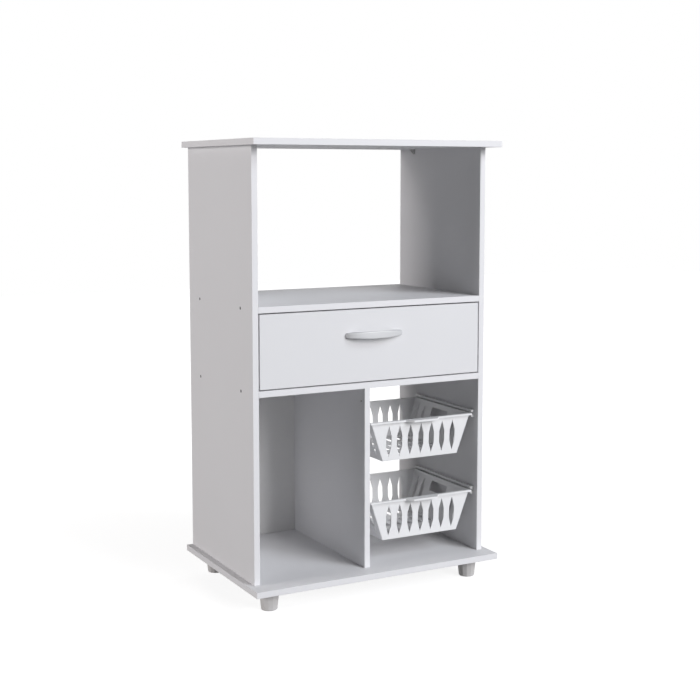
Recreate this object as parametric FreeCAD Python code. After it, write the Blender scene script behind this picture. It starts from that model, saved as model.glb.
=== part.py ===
import FreeCAD, Part
import math
import os

from FreeCAD import Vector

# Kitchen storage cabinet, in millimetres.
# X runs to the right, Y to the back and Z up. The origin lies on the floor,
# under the middle of the top panel, and the open front faces -Y.

# Carcass
overall_width = 675.0
overall_depth = 450.0
overall_height = 1114.0
board = 15.0
edge_round = 0.7
side_overhang = 16.0
front_overhang = 50.0
lower_bay_height = 448.5
drawer_bay_height = 183.0
left_bay_width = 282.0
back_sheet = 3.0
sheet_joint = 1.0
pilot_diameter = 4.0
pilot_depth = 8.0
pilot_setback = 18.0
pilot_drop = 33.0

# Feet
foot_height = 49.0
foot_top_diameter = 50.0
foot_bottom_diameter = 39.5
foot_bottom_round = 2.0
foot_sides = 12
foot_edge_inset = 57.0
foot_floor = 10.0
foot_bore_diameter = 12.0

# Fasteners
screw_fit = 0.1
fastener_inset = 70.0
carcass_screw_diameter = 5.0
carcass_screw_head = 7.5
carcass_screw_length = 48.0
socket_width = 3.0
socket_depth = 2.0
small_screw_diameter = 3.5
small_screw_head = 6.5
small_screw_grip = 11.0
foot_screw_diameter = 4.5
foot_screw_head = 9.0
nail_diameter = 1.6
nail_head = 3.6
nail_length = 16.0
nail_spacing = 130.0
dowel_diameter = 8.0
dowel_length = 30.0
dowel_depth_in_top = 10.0
dowel_inset = 40.0

# Corner brackets under the back of the top panel
bracket_leg = 13.0
bracket_width = 10.0
bracket_wall = 2.5
bracket_gusset = 1.5
bracket_inset = 73.5

# Drawer
drawer_reveal = 3.0
drawer_wall = 12.0
drawer_wall_height = 120.0
drawer_back_gap = 32.0
drawer_bottom = 3.0
groove_depth = 5.0
groove_height = 10.0
groove_play = 0.2
cam_diameter = 15.0
cam_floor = 2.0
cam_setback = 24.0
cam_bottom_inset = 42.0
cam_top_inset = 24.0
bolt_diameter = 6.0
bolt_in_front = 10.0
back_screw_bottom_inset = 50.0
back_screw_top_inset = 24.0
back_screw_length = 35.0

# Handle
handle_height_on_front = 115.5
handle_length = 157.0
handle_projection = 27.0
handle_thickness = 6.0
handle_middle_height = 18.0
handle_end_height = 12.0
handle_foot_length = 26.0
handle_screw_inset = 14.5
handle_screw_diameter = 4.0
handle_screw_head = 8.0
handle_screw_grip = 6.0

# Drawer runners
runner_gap = 12.5
rail_gauge = 1.2
rail_lift = 16.0
rail_side_play = 1.3
rail_front_gap = 1.5
rail_screw_inset = 48.0
rail_screw_spacing = 130.0
roller_diameter = 17.0
roller_play = 0.3
roller_bore_play = 0.05
roller_front_inset = 14.0
rivet_diameter = 5.0
rivet_head = 8.0
rivet_head_height = 0.8
rivet_end_play = 1.2
drawer_drop = 2.0

# Baskets
basket_pitch = 200.5
lower_rim_height = 157.0
basket_height = 101.0
basket_setback = 12.0
basket_depth = 280.0
basket_side_gap = 12.5
basket_side_lean = 35.5
basket_wall = 2.2
basket_front_flange = 6.0
basket_end_lean = 5.0
basket_corner = 3.5
rim_depth = 4.8
rim_corner_length = 6.0
rim_corner_cut = 7.0
tab_length = 96.0
tab_front_length = 67.0
tab_projection = 16.0
slot_pitch = 31.0
slot_width = 15.0
slot_point = 26.0
slot_below_rim = 12.5
slot_above_floor = 9.5
slot_edge_margin = 16.0
window_length = 80.0
window_height = 26.0
window_below_rim = 12.0
window_point = 3.0
window_slot_gap = 34.0
floor_slot_length = 64.0
floor_slot_point = 8.0
floor_slot_gap = 14.0

# Basket runners
basket_runner_height = 19.0
basket_runner_reach = 9.0
basket_runner_web = 2.2
basket_runner_round = 1.5
basket_runner_setback = 17.0
basket_rim_play = 0.3
basket_rim_headroom = 1.9
basket_side_play = 1.0
basket_stop_play = 0.5
basket_screw_inset = 35.0

# Levels and faces that several pieces share
base_bottom = foot_height
base_top = base_bottom + board
top_bottom = overall_height - board
side_outer = overall_width / 2 - side_overhang
side_inner = side_outer - board
side_middle = side_outer - board / 2
panel_front = -overall_depth / 2
panel_back = overall_depth / 2
front = panel_front + front_overhang
back = panel_back - back_sheet
lower_shelf_bottom = base_top + lower_bay_height
lower_shelf_top = lower_shelf_bottom + board
lower_shelf_middle = lower_shelf_bottom + board / 2
upper_shelf_bottom = lower_shelf_top + drawer_bay_height
upper_shelf_top = upper_shelf_bottom + board
upper_shelf_middle = upper_shelf_bottom + board / 2
divider_left = -side_inner + left_bay_width
divider_right = divider_left + board
divider_middle = divider_left + board / 2
drawer_front_back = front + board
drawer_end = back - drawer_back_gap

RIGHT = Vector(1, 0, 0)
LEFT = Vector(-1, 0, 0)
FORWARD = Vector(0, -1, 0)
BACKWARD = Vector(0, 1, 0)
UP = Vector(0, 0, 1)
DOWN = Vector(0, 0, -1)

os.makedirs("parts", exist_ok=True)


def box(x0, x1, y0, y1, z0, z1):
    """A block between two corners."""
    return Part.makeBox(x1 - x0, y1 - y0, z1 - z0, Vector(x0, y0, z0))


def rounded_board(x0, x1, y0, y1, z0, z1):
    """A board whose taped edges are slightly rounded."""
    plain = box(x0, x1, y0, y1, z0, z1)
    return plain.makeFillet(edge_round, plain.Edges)


def prism(points, direction):
    """A straight prism on a closed polygon."""
    outline = Part.makePolygon(points + [points[0]])
    return Part.Face(outline).extrude(direction)


def mirrored(shape, x=0.0):
    """The shape seen in a mirror that stands across X."""
    return shape.mirror(Vector(x, 0, 0), RIGHT)


def save(name, *solids):
    """Write one node. Like fasteners share a node as separate solids."""
    shape = solids[0] if len(solids) == 1 else Part.makeCompound(list(solids))
    shape.exportStep("parts/%s.step" % name)


class Screw:
    """A countersunk screw or nail, its head flush with the face at seat."""

    def __init__(self, seat, inward, diameter, head, length, socket=False):
        self.seat = seat
        self.inward = inward
        self.diameter = diameter
        self.head = head
        self.length = length
        self.socket = socket

    def shaft(self, play):
        head_height = (self.head - self.diameter) / 2
        head_radius = self.head / 2 + play
        radius = self.diameter / 2 + play
        cone = Part.makeCone(head_radius, radius, head_height, self.seat, self.inward)
        shank = Part.makeCylinder(radius, self.length + play, self.seat, self.inward)
        return cone.fuse(shank).removeSplitter()

    def solid(self):
        shape = self.shaft(0.0)
        if not self.socket:
            return shape
        corner = socket_width / math.sqrt(3)
        key = Part.makeCylinder(corner, socket_depth, self.seat, self.inward)
        return shape.cut(key)

    def hole(self):
        return self.shaft(screw_fit)


def drilled(solid, fasteners):
    """The solid with a hole for every fastener that reaches into it."""
    holes = [fastener.hole() for fastener in fasteners]
    reaching = [hole for hole in holes if hole.BoundBox.intersect(solid.BoundBox)]
    if not reaching:
        return solid
    return solid.cut(reaching)


def solids_of(fasteners):
    return [fastener.solid() for fastener in fasteners]


def carcass_screw(seat, inward):
    return Screw(seat, inward, carcass_screw_diameter, carcass_screw_head, carcass_screw_length, True)


def small_screw(seat, inward, clamped):
    """A chipboard screw that clamps a thin fitting and grips the board behind it."""
    return Screw(seat, inward, small_screw_diameter, small_screw_head, clamped + small_screw_grip)


def nail(seat, inward):
    return Screw(seat, inward, nail_diameter, nail_head, nail_length)


def spread(start, end, spacing):
    """Evenly spaced places between two ends, no further apart than the spacing."""
    steps = max(1, math.ceil(abs(end - start) / spacing))
    return [start + (end - start) * i / steps for i in range(steps + 1)]


# Fasteners of the carcass
depth_places = (front + fastener_inset, back - fastener_inset)


def make_shelf_screws():
    screws = []
    for z in (lower_shelf_middle, upper_shelf_middle):
        for y in depth_places:
            screws.append(carcass_screw(Vector(-side_outer, y, z), RIGHT))
            screws.append(carcass_screw(Vector(side_outer, y, z), LEFT))
    return screws


def make_base_screws():
    return [
        carcass_screw(Vector(x, y, base_bottom), UP)
        for x in (-side_middle, divider_middle, side_middle)
        for y in depth_places
    ]


def make_divider_screws():
    return [carcass_screw(Vector(divider_middle, y, lower_shelf_top), DOWN) for y in depth_places]


def make_foot_screws():
    length = foot_floor + small_screw_grip
    return [
        Screw(Vector(x, y, foot_height - foot_floor), UP, foot_screw_diameter, foot_screw_head, length)
        for x, y in foot_centres()
    ]


def foot_centres():
    x = overall_width / 2 - foot_edge_inset
    y = overall_depth / 2 - foot_edge_inset
    return [(-x, -y), (x, -y), (-x, y), (x, y)]


def make_dowels():
    start = top_bottom + dowel_depth_in_top - dowel_length
    return [
        Part.makeCylinder(dowel_diameter / 2, dowel_length, Vector(x, y, start), UP)
        for x in (-side_middle, side_middle)
        for y in (front + dowel_inset, back - dowel_inset)
    ]


def make_dowel_holes():
    start = top_bottom + dowel_depth_in_top - dowel_length - screw_fit
    radius = dowel_diameter / 2 + screw_fit
    length = dowel_length + 2 * screw_fit
    return [
        Part.makeCylinder(radius, length, Vector(x, y, start), UP)
        for x in (-side_middle, side_middle)
        for y in (front + dowel_inset, back - dowel_inset)
    ]


# Back sheets and their nails
nail_line = board / 4
sheet_side = side_inner + board / 2


def make_drawer_sheet_nails():
    seats = []
    for x in spread(-side_inner + nail_line, side_inner - nail_line, nail_spacing):
        seats.append((x, lower_shelf_top - nail_line))
        seats.append((x, upper_shelf_bottom + nail_line))
    for x in (-side_inner - nail_line, side_inner + nail_line):
        seats.append((x, (lower_shelf_top + upper_shelf_bottom) / 2))
    return [nail(Vector(x, panel_back, z), FORWARD) for x, z in seats]


def make_left_sheet_nails():
    seats = []
    for x in spread(-side_inner + nail_line, divider_left - nail_line, nail_spacing):
        seats.append((x, lower_shelf_bottom + nail_line))
    for z in spread(base_top + board, lower_shelf_bottom - board, nail_spacing):
        seats.append((-side_inner - nail_line, z))
        seats.append((divider_left + nail_line, z))
    return [nail(Vector(x, panel_back, z), FORWARD) for x, z in seats]


def make_drawer_sheet(nails):
    bottom = lower_shelf_middle + sheet_joint / 2
    sheet = box(-sheet_side, sheet_side, back, panel_back, bottom, upper_shelf_middle)
    return drilled(sheet, nails)


def make_left_sheet(nails):
    top = lower_shelf_middle - sheet_joint / 2
    sheet = box(-sheet_side, divider_middle, back, panel_back, base_top, top)
    return drilled(sheet, nails)


# Feet
def twelve_sided(centre_x, centre_y, z, diameter):
    """A regular polygon at one level of a foot, with a corner on the X axis."""
    points = []
    for i in range(foot_sides + 1):
        turn = 2 * math.pi * i / foot_sides
        x = centre_x + diameter / 2 * math.cos(turn)
        y = centre_y + diameter / 2 * math.sin(turn)
        points.append(Vector(x, y, z))
    return Part.makePolygon(points)


def make_foot(x, y, screws):
    levels = [
        twelve_sided(x, y, 0.0, foot_bottom_diameter - 2 * foot_bottom_round),
        twelve_sided(x, y, foot_bottom_round / 3, foot_bottom_diameter - foot_bottom_round),
        twelve_sided(x, y, foot_bottom_round, foot_bottom_diameter),
        twelve_sided(x, y, foot_height, foot_top_diameter),
    ]
    body = Part.makeLoft(levels, True, True)
    bore = Part.makeCylinder(foot_bore_diameter / 2, foot_height - foot_floor, Vector(x, y, 0), UP)
    return drilled(body.cut(bore), screws)


# Corner brackets
def bracket_places():
    """Each bracket's panel face, its direction into the bay and its middle along Y."""
    return [
        ("back_left_bracket", -side_inner, 1, back - bracket_inset),
        ("back_right_bracket", side_inner, -1, back - bracket_inset),
    ]


def make_bracket(face, into, y, screws):
    y0 = y - bracket_width / 2
    corner = Vector(face, y0, top_bottom)
    along = Vector(into * bracket_leg, 0, 0)
    down = DOWN * bracket_leg
    block = prism([corner, corner + along, corner + down], BACKWARD * bracket_width)
    inner = corner + Vector(into * bracket_wall, bracket_gusset, -bracket_wall)
    inside = [inner, inner + along, inner + down]
    hollow = prism(inside, BACKWARD * (bracket_width - 2 * bracket_gusset))
    return drilled(block.cut(hollow), screws)


def make_bracket_screws():
    screws = []
    offset = (bracket_leg + bracket_wall) / 2 - small_screw_head / 4
    for name, face, into, y in bracket_places():
        top_seat = Vector(face + into * offset, y, top_bottom - bracket_wall)
        side_seat = Vector(face + into * bracket_wall, y, top_bottom - offset)
        screws.append(small_screw(top_seat, UP, bracket_wall))
        screws.append(small_screw(side_seat, Vector(-into, 0, 0), bracket_wall))
    return screws


# Drawer rails and rollers, modelled on the right and mirrored to the left
rail_height = roller_diameter + 2 * roller_play + 2 * rail_gauge
rail_bottom = lower_shelf_top + rail_lift
rail_top = rail_bottom + rail_height
rail_front = drawer_front_back + rail_front_gap
rail_back = drawer_end
rail_middle = rail_bottom + rail_height / 2
roller_radius = roller_diameter / 2
roller_width = runner_gap - 2 * rail_gauge - 2 * roller_play - rivet_head_height - rivet_end_play
ride_height = rail_top + 2 * roller_play
cabinet_roller_y = rail_front + roller_front_inset
cabinet_roller_z = ride_height - roller_play - roller_radius
drawer_roller_y = rail_back - rail_gauge - roller_play - roller_radius
drawer_roller_z = rail_bottom + rail_gauge + roller_play + roller_radius
drawer_side = side_inner - runner_gap
drawer_box_bottom = rail_bottom - drawer_drop
drawer_leg = drawer_side + rail_gauge
web_face = side_inner - rail_gauge
cabinet_roller_out = web_face - roller_play
drawer_roller_in = drawer_leg + roller_play


def make_cabinet_rail(screws):
    """A C-shaped rail that opens towards the drawer, with a stop at its back end."""
    tip = drawer_leg + rail_side_play
    outer = box(tip, side_inner, rail_front, rail_back, rail_bottom, rail_top)
    channel = box(
        tip, web_face, rail_front, rail_back - rail_gauge, rail_bottom + rail_gauge, rail_top - rail_gauge
    )
    notch_end = cabinet_roller_y + roller_radius + 2 * roller_play
    notch = box(tip, web_face, rail_front, notch_end, rail_middle, rail_top)
    rivet_hole = make_rivet_hole(Vector(side_inner, cabinet_roller_y, cabinet_roller_z), LEFT)
    return drilled(outer.cut([channel, notch, rivet_hole]), screws)


def make_drawer_rail(screws):
    """An angle under the drawer wall with a flange that rides on the cabinet roller."""
    foot_in = drawer_side - drawer_wall
    foot_bottom = drawer_box_bottom - rail_gauge
    ride_top = ride_height + rail_gauge
    flange_out = web_face - 2 * roller_play
    leg = box(drawer_side, drawer_leg, rail_front, rail_back, foot_bottom, ride_top)
    foot = box(foot_in, drawer_leg, rail_front, rail_back, foot_bottom, drawer_box_bottom)
    ride = box(drawer_side, flange_out, rail_front, rail_back, ride_height, ride_top)
    rivet_hole = make_rivet_hole(Vector(drawer_side, drawer_roller_y, drawer_roller_z), RIGHT)
    return drilled(leg.fuse([foot, ride]).removeSplitter().cut(rivet_hole), screws)


def make_roller(x0, y, z):
    """A nylon roller, crowned by a small bevel at both rims."""
    bevel = roller_play
    wheel = Part.makeCylinder(roller_radius, roller_width, Vector(x0, y, z), RIGHT)
    rims = [edge for edge in wheel.Edges if edge.Closed]
    wheel = wheel.makeChamfer(bevel, rims)
    bore_radius = rivet_diameter / 2 + roller_bore_play
    return wheel.cut(Part.makeCylinder(bore_radius, roller_width, Vector(x0, y, z), RIGHT))


def make_rivet_hole(start, direction):
    return Part.makeCylinder(rivet_diameter / 2 + screw_fit, rail_gauge, start, direction)


def make_rivet(start, direction):
    """An axle through a rail's web, with a flat head past the roller."""
    reach = rail_gauge + 2 * roller_play + roller_width
    axle = Part.makeCylinder(rivet_diameter / 2, reach, start, direction)
    head_start = start + direction * reach
    head = Part.makeCylinder(rivet_head / 2, rivet_head_height, head_start, direction)
    return axle.fuse(head).removeSplitter()


def rail_screw_places():
    return spread(rail_front + rail_screw_inset, rail_back - rail_screw_inset, rail_screw_spacing)


def make_cabinet_rail_screws():
    return [small_screw(Vector(web_face, y, rail_middle), RIGHT, rail_gauge) for y in rail_screw_places()]


def make_drawer_rail_screws():
    z = (groove_top + ride_height) / 2
    length = drawer_wall - 2 * rail_gauge
    return [
        Screw(Vector(drawer_leg, y, z), LEFT, small_screw_diameter, small_screw_head, length)
        for y in rail_screw_places()
    ]


# Drawer box and front
drawer_inside = drawer_side - drawer_wall
drawer_box_top = drawer_box_bottom + drawer_wall_height
groove_bottom = drawer_box_bottom + groove_height
groove_top = groove_bottom + drawer_bottom + 2 * groove_play
drawer_front_side = side_inner - drawer_reveal
drawer_front_bottom = lower_shelf_top + drawer_reveal
drawer_front_top = upper_shelf_bottom - drawer_reveal
handle_z = drawer_front_bottom + handle_height_on_front
bolt_x = drawer_side - drawer_wall / 2
cam_depth = drawer_wall - cam_floor


def bottom_groove():
    """The slot that the walls and the front share for the bottom sheet."""
    side = drawer_inside + groove_depth
    return box(-side, side, drawer_front_back - groove_depth, drawer_end, groove_bottom, groove_top)


def make_drawer_bottom(nails):
    side = drawer_inside + groove_depth - groove_play
    start = drawer_front_back - groove_depth + groove_play
    bottom = groove_bottom + groove_play
    sheet = box(-side, side, start, drawer_end, bottom, bottom + drawer_bottom)
    return drilled(sheet, nails)


def cam_places():
    return [drawer_box_bottom + cam_bottom_inset, drawer_box_top - cam_top_inset]


def make_cam_bolts():
    """Headed bolts that stand in the drawer front and reach into the cams."""
    radius = bolt_diameter / 2
    length = bolt_in_front + cam_setback
    start = drawer_front_back - bolt_in_front
    bolts = []
    for z in cam_places():
        shank = Part.makeCylinder(radius, length, Vector(bolt_x, start, z), BACKWARD)
        neck_y = drawer_front_back + cam_setback - radius
        ring = Part.makeCylinder(radius, radius, Vector(bolt_x, neck_y - radius, z), BACKWARD)
        neck = Part.makeCylinder(radius / 2, radius, Vector(bolt_x, neck_y - radius, z), BACKWARD)
        bolts.append(shank.cut(ring.cut(neck)))
    return bolts


def make_cam_bolt_holes():
    radius = bolt_diameter / 2 + screw_fit
    start = drawer_front_back - bolt_in_front - screw_fit
    length = bolt_in_front + cam_setback + screw_fit
    return [Part.makeCylinder(radius, length, Vector(bolt_x, start, z), BACKWARD) for z in cam_places()]


def make_cams():
    """Cam discs let into the walls' outer faces, with a slot that takes the bolt's head."""
    radius = cam_diameter / 2
    y = drawer_front_back + cam_setback
    slot_half = bolt_diameter / 2 + 2 * screw_fit
    cams = []
    for z in cam_places():
        disc = Part.makeCylinder(radius, cam_depth, Vector(drawer_side, y, z), LEFT)
        slot = box(
            bolt_x - slot_half, bolt_x + slot_half,
            y - radius, y + slot_half, z - slot_half, z + slot_half,
        )
        turn_slot = box(
            drawer_side - socket_depth, drawer_side,
            y - radius / 2, y + radius / 2, z - screw_fit * 6, z + screw_fit * 6,
        )
        cams.append(disc.cut([slot, turn_slot]))
    return cams


def make_cam_pockets():
    radius = cam_diameter / 2 + screw_fit
    y = drawer_front_back + cam_setback
    depth = cam_depth + screw_fit
    return [Part.makeCylinder(radius, depth, Vector(drawer_side, y, z), LEFT) for z in cam_places()]


def make_drawer_wall(screws):
    """The right wall, grooved for the bottom and bored for the cams."""
    wall = rounded_board(
        drawer_inside, drawer_side, drawer_front_back, drawer_end, drawer_box_bottom, drawer_box_top
    )
    bored = wall.cut([bottom_groove()] + make_cam_pockets() + make_cam_bolt_holes())
    return drilled(bored, screws)


def make_drawer_back(fasteners):
    wall = rounded_board(
        -drawer_inside, drawer_inside, drawer_end - drawer_wall, drawer_end, groove_top, drawer_box_top
    )
    return drilled(wall, fasteners)


def make_drawer_back_screws():
    y = drawer_end - drawer_wall / 2
    heights = (drawer_box_bottom + back_screw_bottom_inset, drawer_box_top - back_screw_top_inset)
    return [
        Screw(Vector(drawer_side, y, z), LEFT, small_screw_diameter, small_screw_head, back_screw_length)
        for z in heights
    ]


def make_drawer_bottom_nails():
    y = drawer_end - drawer_wall / 2
    z = groove_bottom + groove_play
    return [nail(Vector(x, y, z), UP) for x in spread(-drawer_inside / 2, drawer_inside / 2, nail_spacing)]


def make_drawer_front(fasteners, bolt_holes):
    panel = rounded_board(
        -drawer_front_side, drawer_front_side, front, drawer_front_back, drawer_front_bottom, drawer_front_top
    )
    return drilled(panel.cut([bottom_groove()] + bolt_holes), fasteners)


# Handle
def half_ellipse(half_length, rise, y):
    """From the left end, over the middle, to the right end, in plan."""
    ellipse = Part.Ellipse(Vector(0, y, 0), half_length, rise)
    return Part.ArcOfEllipse(ellipse, math.pi, 2 * math.pi).toShape()


def make_handle(screws):
    """A bow, half an ellipse in plan, that swells towards its middle in elevation."""
    half = handle_length / 2
    inner_half = half - handle_foot_length
    outer_arc = half_ellipse(half, handle_projection, front)
    inner_arc = half_ellipse(inner_half, handle_projection - handle_thickness, front)
    left_foot = Part.makeLine(Vector(-half, front, 0), Vector(-inner_half, front, 0))
    right_foot = Part.makeLine(Vector(inner_half, front, 0), Vector(half, front, 0))
    plan = Part.Face(Part.Wire([outer_arc, right_foot, inner_arc, left_foot]))
    plan.translate(UP * (handle_z - handle_middle_height / 2))
    bow = plan.extrude(UP * handle_middle_height)
    end = handle_end_height / 2
    middle = handle_middle_height / 2
    offsets = ((-half, -end), (half, -end), (half, end), (-half, end))
    corners = [Vector(x, front, handle_z + z) for x, z in offsets]
    lower = Part.Arc(corners[0], Vector(0, front, handle_z - middle), corners[1]).toShape()
    right_end = Part.makeLine(corners[1], corners[2])
    upper = Part.Arc(corners[2], Vector(0, front, handle_z + middle), corners[3]).toShape()
    left_end = Part.makeLine(corners[3], corners[0])
    elevation = Part.Face(Part.Wire([lower, right_end, upper, left_end]))
    lens = elevation.extrude(FORWARD * handle_projection)
    return drilled(bow.common(lens), screws)


def make_handle_screws():
    length = board + handle_screw_grip
    side = handle_length / 2 - handle_screw_inset
    seats = [Vector(x, drawer_front_back, handle_z) for x in (-side, side)]
    return [Screw(seat, FORWARD, handle_screw_diameter, handle_screw_head, length) for seat in seats]


# Baskets and their runners
bay_middle = (divider_right + side_inner) / 2
bay_half = (side_inner - divider_right) / 2
rim_half = bay_half - basket_runner_web - basket_side_play
rim_front_half = bay_half - basket_runner_reach - basket_side_play
basket_front = front + basket_setback
basket_back = basket_front + basket_depth
basket_middle = (basket_front + basket_back) / 2
lower_rim = base_top + lower_rim_height
upper_rim = lower_rim + basket_pitch
basket_runner_lip = (basket_runner_height - rim_depth - basket_rim_play - basket_rim_headroom) / 2
runner_start = front + basket_runner_setback
runner_end = basket_back + basket_stop_play + basket_runner_web
tub_top_half = bay_half - basket_side_gap
tub_bottom_half = tub_top_half - basket_side_lean
tub_bottom_half_depth = basket_depth / 2 - basket_front_flange - basket_end_lean
slot_height = basket_height - slot_below_rim - slot_above_floor


def rounded_rectangle(half_width, y0, y1, z, radius):
    """A closed outline with round corners, centred on the basket bay."""
    x0 = bay_middle - half_width
    x1 = bay_middle + half_width
    diagonal = radius * (1 - math.sqrt(0.5))
    corners = [(x0, y0, 1, 1), (x1, y0, -1, 1), (x1, y1, -1, -1), (x0, y1, 1, -1)]
    edges = []
    ends = []
    for index, (x, y, sx, sy) in enumerate(corners):
        along_x = Vector(x + sx * radius, y, z)
        along_y = Vector(x, y + sy * radius, z)
        middle = Vector(x + sx * diagonal, y + sy * diagonal, z)
        first, last = (along_y, along_x) if index % 2 == 0 else (along_x, along_y)
        ends.append((first, last))
        edges.append(Part.Arc(first, middle, last).toShape())
    sides = [Part.makeLine(ends[i][1], ends[(i + 1) % 4][0]) for i in range(4)]
    ordered = [edge for pair in zip(edges, sides) for edge in pair]
    return Part.Wire(ordered)


def basket_shell(rim_top, inset, floor):
    """The tapered tub, as a solid, drawn in by the inset and raised by the floor."""
    top_half = tub_top_half - inset
    bottom_half = tub_bottom_half - inset
    top_y0 = basket_front + basket_front_flange + inset
    top_y1 = basket_back - basket_front_flange - inset
    bottom_y0 = top_y0 + basket_end_lean
    bottom_y1 = top_y1 - basket_end_lean
    corner = basket_corner - inset
    low = rounded_rectangle(bottom_half, bottom_y0, bottom_y1, rim_top - basket_height + floor, corner)
    high = rounded_rectangle(top_half, top_y0, top_y1, rim_top, corner)
    return Part.makeLoft([low, high], True, True)


def rim_outline(z, inset):
    """The rim in plan: a pull tab in front, and flanks that run in the runners."""
    tab_half = tab_length / 2
    tab_front_half = tab_front_length / 2
    corner_y = basket_front + rim_corner_length
    flank_y = corner_y + rim_corner_cut
    half = [
        (tab_front_half, basket_front - tab_projection),
        (tab_half, basket_front),
        (rim_front_half, basket_front),
        (rim_front_half, corner_y),
        (rim_half, flank_y),
        (rim_half, basket_back),
    ]
    right = [Vector(bay_middle + x, y, z) for x, y in half]
    left = [Vector(bay_middle - x, y, z) for x, y in reversed(half)]
    outline = Part.Face(Part.makePolygon(right + left + [right[0]]))
    if inset == 0:
        return outline
    return outline.makeOffset2D(-inset, 2)


def make_rim(rim_top):
    """A flange with a turned-down lip all round."""
    plate = rim_outline(rim_top - rim_depth, 0).extrude(UP * rim_depth)
    under = rim_outline(rim_top - rim_depth, basket_wall).extrude(UP * (rim_depth - basket_wall))
    return plate.cut(under)


def pointed_slot(centre, across, along, width, length, point):
    """Corners of a slot that ends in a point at both ends."""
    half_width = across * (width / 2)
    straight = along * (length / 2 - point)
    tip = along * (length / 2)
    return [
        centre + tip,
        centre + half_width + straight,
        centre + half_width - straight,
        centre - tip,
        centre - half_width - straight,
        centre - half_width + straight,
    ]


def centred_row(middle, count, pitch):
    """Places in a row, evenly about its middle."""
    return [middle + pitch * (i - (count - 1) / 2) for i in range(count)]


def slot_places():
    """As many slots as the floor's width takes."""
    room = 2 * (tub_bottom_half - slot_edge_margin)
    return centred_row(bay_middle, int(room // slot_pitch) + 1, slot_pitch)


def side_slot_places():
    """Slots from the hand window out to the ends of the tub."""
    places = []
    offset = window_length / 2 + window_slot_gap
    while offset <= tub_bottom_half_depth - slot_edge_margin:
        places += [basket_middle - offset, basket_middle + offset]
        offset += slot_pitch
    return places


def floor_row_places():
    pitch = floor_slot_length + floor_slot_gap
    room = 2 * (tub_bottom_half_depth - slot_edge_margin) + floor_slot_gap
    return centred_row(basket_middle, int(room // pitch), pitch)


def end_wall_slots(rim_top):
    z = rim_top - slot_below_rim - slot_height / 2
    through = BACKWARD * basket_depth
    slots = []
    for x in slot_places():
        centre = Vector(x, basket_front, z)
        outline = pointed_slot(centre, RIGHT, UP, slot_width, slot_height, slot_point)
        slots.append(prism(outline, through))
    return slots


def side_wall_slots(rim_top):
    z = rim_top - slot_below_rim - slot_height / 2
    x = bay_middle - rim_half
    through = RIGHT * (2 * rim_half)
    slots = []
    for y in side_slot_places():
        centre = Vector(x, y, z)
        outline = pointed_slot(centre, BACKWARD, UP, slot_width, slot_height, slot_point)
        slots.append(prism(outline, through))
    window_z = rim_top - window_below_rim - window_height / 2
    window = pointed_slot(
        Vector(x, basket_middle, window_z), UP, BACKWARD, window_height, window_length, window_point
    )
    slots.append(prism(window, through))
    return slots


def floor_slots(rim_top):
    slots = []
    for x in slot_places():
        for y in floor_row_places():
            centre = Vector(x, y, rim_top - basket_height)
            outline = pointed_slot(centre, RIGHT, BACKWARD, slot_width, floor_slot_length, floor_slot_point)
            slots.append(prism(outline, UP * basket_wall))
    return slots


def make_basket(rim_top):
    outside = basket_shell(rim_top, 0.0, 0.0)
    inside = basket_shell(rim_top, basket_wall, basket_wall)
    tub = outside.fuse(make_rim(rim_top)).cut(inside)
    return tub.cut(end_wall_slots(rim_top) + side_wall_slots(rim_top) + floor_slots(rim_top))


def make_basket_runner(rim_top, screws):
    """The right-hand runner: a C-shaped channel with thick lips and a closed back end."""
    bottom = rim_top - rim_depth - basket_rim_play - basket_runner_lip
    top = bottom + basket_runner_height
    tip = side_inner - basket_runner_reach
    block = box(tip, side_inner, runner_start, runner_end, bottom, top)
    noses = [
        edge for edge in block.Edges
        if abs(edge.CenterOfMass.x - tip) < screw_fit and edge.BoundBox.YLength > basket_runner_reach
    ]
    body = block.makeFillet(basket_runner_round, noses)
    channel = box(
        tip, side_inner - basket_runner_web, runner_start, runner_end - basket_runner_web,
        bottom + basket_runner_lip, top - basket_runner_lip,
    )
    return drilled(body.cut(channel), screws)


def make_basket_runner_screws(rim_top):
    bottom = rim_top - rim_depth - basket_rim_play - basket_runner_lip
    z = bottom + basket_runner_height / 2
    x = side_inner - basket_runner_web
    places = (runner_start + basket_screw_inset, runner_end - basket_screw_inset)
    return [small_screw(Vector(x, y, z), RIGHT, basket_runner_web) for y in places]


class Twin:
    """A fastener's mirror image, for the boards on the other side."""

    def __init__(self, fastener, x=0.0):
        self.fastener = fastener
        self.x = x

    def solid(self):
        return mirrored(self.fastener.solid(), self.x)

    def hole(self):
        return mirrored(self.fastener.hole(), self.x)


def twins(fasteners, x=0.0):
    return [Twin(fastener, x) for fastener in fasteners]


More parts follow.
